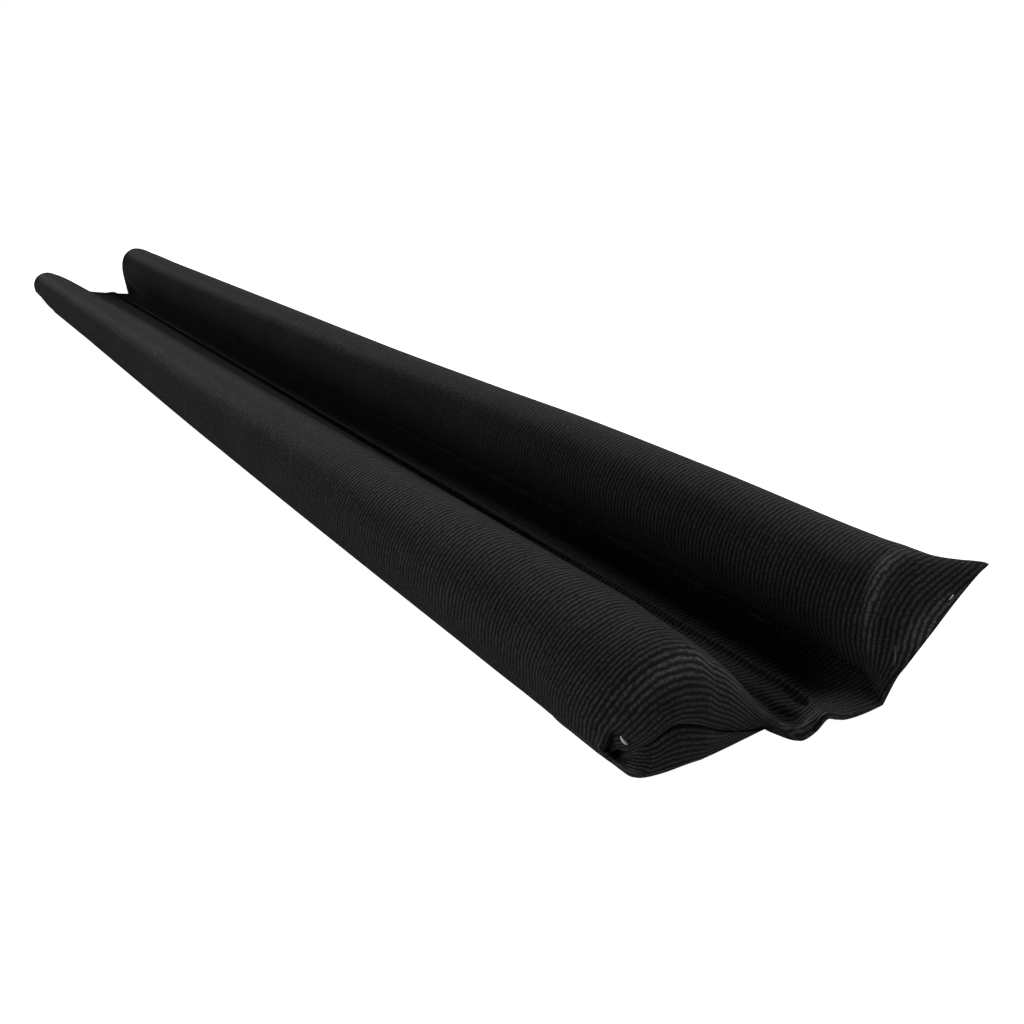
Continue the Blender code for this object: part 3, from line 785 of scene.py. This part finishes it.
def rib_cloth_material(name, weave, pitch):
    """Matt black rib cloth: paler rib tops over grooves in painted shade, fine yarn, a soft nap, and
    painted highlight and shade along the creases.
    """
    material = bpy.data.materials.new(name)
    material.use_nodes = True
    tree = material.node_tree
    shader = tree.nodes["Principled BSDF"]
    shader.inputs["Metallic"].default_value = 0.0
    shader.inputs["Specular IOR Level"].default_value = 0.06
    shader.inputs["Sheen Weight"].default_value = 0.12
    shader.inputs["Sheen Roughness"].default_value = 0.40
    shader.inputs["Sheen Tint"].default_value = NAP_TINT
    cloth = add_node(tree, "ShaderNodeUVMap", uv_map="cloth")
    place = add_node(tree, "ShaderNodeTexCoord")
    ribs = add_node(tree, "ShaderNodeGroup", node_tree=weave)
    ribs.inputs["Pitch"].default_value = pitch
    tree.links.new(cloth.outputs["UV"], ribs.inputs["Cloth"])
    tree.links.new(place.outputs["Object"], ribs.inputs["Place"])
    colour = add_node(tree, "ShaderNodeMix", data_type="RGBA")
    colour.inputs["A"].default_value = SHADED_GROOVE_COLOUR
    colour.inputs["B"].default_value = RIB_COLOUR
    tree.links.new(ribs.outputs["Shade"], colour.inputs["Factor"])
    patchy = spread_over(tree, ribs.outputs["Patches"], 0.30, 0.70, 0.86, 1.14)
    # Painted light and shade: the crease tone makes the cloth's colour paler on ridges and darker in
    # folds.
    tone = add_node(tree, "ShaderNodeAttribute", attribute_name="tone")
    painted_shading_share = spread_over(tree, tone.outputs["Fac"], DARKEST_TONE, PALEST_TONE,
                                DARKEST_SHARE, PALEST_SHARE)
    toned = add_node(tree, "ShaderNodeHueSaturation")
    tree.links.new(colour.outputs["Result"], toned.inputs["Color"])
    tree.links.new(worked_out(tree, "MULTIPLY", patchy, painted_shading_share), toned.inputs["Value"])
    tree.links.new(toned.outputs["Color"], shader.inputs["Base Color"])
    rough = spread_over(tree, ribs.outputs["Shade"], 0.0, 1.0, 0.95, 0.78)
    tree.links.new(rough, shader.inputs["Roughness"])
    bump = add_node(tree, "ShaderNodeBump")
    bump.inputs["Strength"].default_value = 0.9
    bump.inputs["Distance"].default_value = RIB_HEIGHT
    tree.links.new(ribs.outputs["Height"], bump.inputs["Height"])
    tree.links.new(bump.outputs["Normal"], shader.inputs["Normal"])
    return material


sleeve = sleeve_cloth("sleeve_cover")
weave = rib_weave_group()
rib_cloth = rib_cloth_material("black_rib_cloth_look", weave, RIB_PITCH)
sleeve.data.materials.append(rib_cloth)
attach(sleeve, "root")
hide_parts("sleeve")

# Web stitching.
# Black polyester thread that holds the web's two cloths together beside the front roll: one row
# of short stitches along the bottom of the seam's groove.
STITCH_HALF = (0.00135, 0.00026, 0.00022)   # half the length, width and height of one stitch
STITCH_PITCH = 0.0036
STITCH_LIFT = 0.00004           # of a stitch's middle over the cloth
STITCH_SLANT = 5.0              # degrees off the line of the seam, to one side and the other
SEAM_COLUMN = FRONT_STEPS + 19  # the column of the cloth's corners that the seam follows
SEAM_FIRST = -46.6              # where the stitches that show start and end, in roll radii
SEAM_LAST = -3.00


def column_line(piece, column, first_x, last_x):
    """Points of the cloth along one column of corners, between two places along the rolls."""
    around = 2 * (FRONT_STEPS + WEB_STEPS + REAR_STEPS)
    corners = piece.data.vertices
    line = [corners[index].co.copy() for index in range(column, len(corners), around)]
    low = (first_x + ALONG_SHIFT) * ROLL_RADIUS
    high = (last_x + ALONG_SHIFT) * ROLL_RADIUS
    return [point for point in line if low <= point.x <= high]


def spaced(line, pitch):
    """Places along a line at an even pitch, each with the line's direction."""
    places = []
    carried = 0.0
    for start, end in zip(line, line[1:]):
        length = (end - start).length
        along = (end - start).normalized()
        while carried <= length:
            places.append((start + along * carried, along))
            carried += pitch
        carried -= length
    return places


def thread_material(name, dark, pale, roughness):
    """Twisted thread: a fine slanting twist, with painted shade between its strands."""
    material = bpy.data.materials.new(name)
    material.use_nodes = True
    tree = material.node_tree
    shader = tree.nodes["Principled BSDF"]
    shader.inputs["Specular IOR Level"].default_value = 0.3
    shader.inputs["Sheen Weight"].default_value = 0.1
    place = add_node(tree, "ShaderNodeTexCoord")
    twist = add_node(tree, "ShaderNodeTexWave", wave_type="BANDS", bands_direction="DIAGONAL")
    twist.inputs["Scale"].default_value = 900.0
    twist.inputs["Distortion"].default_value = 2.0
    tree.links.new(place.outputs["Object"], twist.inputs["Vector"])
    # The dark colour between the twist's bands is painted shade between the strands.
    colour = add_node(tree, "ShaderNodeMix", data_type="RGBA")
    colour.inputs["A"].default_value = dark
    colour.inputs["B"].default_value = pale
    tree.links.new(twist.outputs["Fac"], colour.inputs["Factor"])
    tree.links.new(colour.outputs["Result"], shader.inputs["Base Color"])
    rough = spread_over(tree, twist.outputs["Fac"], 0.0, 1.0, roughness + 0.12, roughness)
    tree.links.new(rough, shader.inputs["Roughness"])
    bump = add_node(tree, "ShaderNodeBump")
    bump.inputs["Strength"].default_value = 0.5
    bump.inputs["Distance"].default_value = 0.00008
    tree.links.new(twist.outputs["Fac"], bump.inputs["Height"])
    tree.links.new(bump.outputs["Normal"], shader.inputs["Normal"])
    return material


bpy.ops.mesh.primitive_uv_sphere_add(segments=6, ring_count=4, radius=1.0)
one_stitch = bpy.context.object
bpy.ops.transform.rotate(value=math.radians(90.0), orient_axis="Y")
bpy.ops.transform.resize(value=STITCH_HALF)
bpy.ops.object.transform_apply(location=True, rotation=True, scale=True)
one_stitch.data.polygons.foreach_set("use_smooth", [True] * len(one_stitch.data.polygons))
black_thread = thread_material("black_thread_look", (0.006, 0.006, 0.0065, 1.0),
                               (0.022, 0.022, 0.023, 1.0), 0.60)
one_stitch.data.materials.append(black_thread)
stitches = []
seam = column_line(sleeve, SEAM_COLUMN, SEAM_FIRST, SEAM_LAST)
for number, (place, along) in enumerate(spaced(seam, STITCH_PITCH)):
    stitch = one_stitch.copy()
    stitch.data = one_stitch.data.copy()
    slant = math.radians(STITCH_SLANT if number % 2 else -STITCH_SLANT)
    turned = Matrix.Rotation(slant, 4, "Z") @ along.to_track_quat("X", "Z").to_matrix().to_4x4()
    stitch.matrix_world = Matrix.Translation(place + Vector((0, 0, STITCH_LIFT))) @ turned
    bpy.context.scene.collection.objects.link(stitch)
    stitches.append(stitch)
bpy.data.objects.remove(one_stitch)
for shown in bpy.context.selected_objects:
    shown.select_set(False)
for stitch in stitches:
    stitch.select_set(True)
bpy.context.view_layer.objects.active = stitches[0]
bpy.ops.object.join()
stitching = bpy.context.object
stitching.name = "web_stitching"
bpy.ops.object.transform_apply(location=True, rotation=True, scale=True)
stitching.select_set(False)
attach(stitching, "root")

# Thread ends.
# Ends of sewing yarn: a pale one that curls out of the front pocket's corner, one at the rear
# pocket's edge, and a fine grey one on the rear pocket.  Each is a round strand laid on the cloth.
STRAND_COLUMNS = ("strand", "x", "y", "z", "thickness")
PALE_STRAND_ROWS = (
    ("corner end", -0.760, -0.610, 0.780, 0.010),
    ("corner end", -0.745, -0.590, 0.740, 0.022),
    ("corner end", -0.735, -0.550, 0.685, 0.026),
    ("corner end", -0.730, -0.520, 0.640, 0.012),
    ("flap end", -0.030, 5.340, 1.420, 0.006),
    ("flap end", -0.025, 5.390, 1.455, 0.012),
    ("flap end", -0.035, 5.430, 1.480, 0.006),
)
GREY_STRAND_ROWS = (
    ("rear strand", -0.14, 4.32, 0.88, 0.006),
    ("rear strand", -0.10, 4.28, 0.73, 0.011),
    ("rear strand", -0.07, 4.26, 0.57, 0.007),
)
STRAND_LIFT = 0.8               # how high a strand's middle lies over the cloth, in its radii


def strand(cloth_tree, rows):
    """One fine strand through its points, each laid on the cloth."""
    curve = bpy.data.curves.new(rows[0]["strand"], "CURVE")
    curve.dimensions = "3D"
    curve.bevel_depth = ROLL_RADIUS
    curve.bevel_resolution = 1
    curve.resolution_u = 6
    curve.use_fill_caps = True
    line = curve.splines.new("BEZIER")
    line.bezier_points.add(len(rows) - 1)
    for knot, row in zip(line.bezier_points, rows):
        wanted = Vector((row["x"] + ALONG_SHIFT, row["y"] + ACROSS_SHIFT, row["z"])) * ROLL_RADIUS
        nearest, outward, face, gap = cloth_tree.find_nearest(wanted)
        knot.co = nearest + outward * STRAND_LIFT * row["thickness"] * ROLL_RADIUS
        knot.radius = row["thickness"]
        knot.handle_left_type = "AUTO"
        knot.handle_right_type = "AUTO"
    piece = bpy.data.objects.new(rows[0]["strand"], curve)
    bpy.context.scene.collection.objects.link(piece)
    return piece


def strands_piece(name, cloth_tree, rows, material):
    """All strands of a table as one closed mesh."""
    strands = {}
    for row in table(STRAND_COLUMNS, rows):
        strands.setdefault(row["strand"], []).append(row)
    pieces = [strand(cloth_tree, rows) for rows in strands.values()]
    for shown in bpy.context.selected_objects:
        shown.select_set(False)
    for piece in pieces:
        piece.select_set(True)
    bpy.context.view_layer.objects.active = pieces[0]
    bpy.ops.object.convert(target="MESH")
    if len(pieces) > 1:
        bpy.ops.object.join()
    made = bpy.context.object
    made.name = name
    bpy.ops.object.mode_set(mode="EDIT")
    bpy.ops.mesh.select_all(action="SELECT")
    bpy.ops.mesh.remove_doubles(threshold=0.000002)
    bpy.ops.mesh.normals_make_consistent(inside=False)
    bpy.ops.object.mode_set(mode="OBJECT")
    made.select_set(False)
    made.data.polygons.foreach_set("use_smooth", [True] * len(made.data.polygons))
    made.data.materials.clear()
    made.data.materials.append(material)
    return made


cloth_tree = BVHTree.FromPolygons([corner.co for corner in sleeve.data.vertices],
                                  [face.vertices[:] for face in sleeve.data.polygons])
pale_thread = thread_material("pale_thread_look", (0.30, 0.30, 0.29, 1.0),
                              (0.80, 0.80, 0.78, 1.0), 0.75)
grey_thread = thread_material("grey_thread_look", (0.05, 0.05, 0.05, 1.0),
                              (0.13, 0.13, 0.13, 1.0), 0.75)
pale_ends = strands_piece("pale_thread_ends", cloth_tree, PALE_STRAND_ROWS, pale_thread)
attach(pale_ends, "root")
grey_ends = strands_piece("grey_thread_end", cloth_tree, GREY_STRAND_ROWS, grey_thread)
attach(grey_ends, "root")

# Floor and surround.
# A plain pale studio floor that reaches beyond the view.  It and the surround show plain white to
# the camera only.  The lamps light the sleeve, with what the floor throws back of their light.
FLOOR_SIZE = 40.0
FLOOR_COLOUR = (0.58, 0.58, 0.58, 1.0)
WHITE = (1.0, 1.0, 1.0, 1.0)

bpy.ops.mesh.primitive_plane_add(size=FLOOR_SIZE, location=(0.0, 0.0, 0.0))
floor = bpy.context.object
floor.name = "studio_floor"
floor_paint = bpy.data.materials.new("pale_floor")
floor_paint.use_nodes = True
floor_tree = floor_paint.node_tree
floor_shader = floor_tree.nodes["Principled BSDF"]
floor_shader.inputs["Roughness"].default_value = 0.9
floor_shader.inputs["Base Color"].default_value = FLOOR_COLOUR
floor_shader.inputs["Emission Color"].default_value = WHITE
seen = add_node(floor_tree, "ShaderNodeLightPath")
floor_tree.links.new(seen.outputs["Is Camera Ray"], floor_shader.inputs["Emission Strength"])
floor.data.materials.append(floor_paint)

world = bpy.data.worlds.new("bright_surround")
bpy.context.scene.world = world
world.use_nodes = True
background = world.node_tree.nodes["Background"]
background.inputs["Color"].default_value = WHITE
seen = add_node(world.node_tree, "ShaderNodeLightPath")
world.node_tree.links.new(seen.outputs["Is Camera Ray"], background.inputs["Strength"])

# Lamps.
# Wide soft studio lamps: the main one behind the sleeve and above it, a low one before it, and a
# weak low one at its near end.
LAMP_COLUMNS = ("name", "round", "up", "spread", "power")
LAMP_ROWS = (
    ("lamp_behind", 180.0, 45.0, 30.0, 2.35),
    ("lamp_before", 0.0, 14.5, 32.0, 1.40),
    ("lamp_near_end", 90.0, 15.0, 35.0, 0.20),
)

for row in table(LAMP_COLUMNS, LAMP_ROWS):
    lamp_data = bpy.data.lights.new(row["name"], "SUN")
    lamp_data.angle = math.radians(row["spread"])
    lamp_data.energy = row["power"]
    lamp = bpy.data.objects.new(row["name"], lamp_data)
    turned = math.radians(row["round"])
    raised = math.radians(row["up"])
    level = math.cos(raised)
    to_lamp = Vector((math.sin(turned) * level, -math.cos(turned) * level, math.sin(raised)))
    lamp.rotation_euler = to_lamp.to_track_quat("Z", "Y").to_euler()
    bpy.context.scene.collection.objects.link(lamp)

# Camera.
# Close to the near end of the rolls, looking along them and down.
CAMERA_PLACE = (0.59612, -0.18972, 0.15224)
CAMERA_TILT = 68.043            # degrees up from looking straight down
CAMERA_TURN = 56.540            # degrees to the left of the rolls' square
CAMERA_LENS = 33.398            # millimetres on a square 36 mm frame

camera_data = bpy.data.cameras.new("camera")
camera_data.lens = CAMERA_LENS
camera_data.sensor_width = 36.0
camera_data.clip_start = 0.01
camera_data.clip_end = 100.0
camera = bpy.data.objects.new("camera", camera_data)
camera.location = CAMERA_PLACE
camera.rotation_euler = (math.radians(CAMERA_TILT), 0.0, math.radians(CAMERA_TURN))
bpy.context.scene.collection.objects.link(camera)
bpy.context.scene.camera = camera
bpy.context.scene.view_settings.view_transform = "Standard"
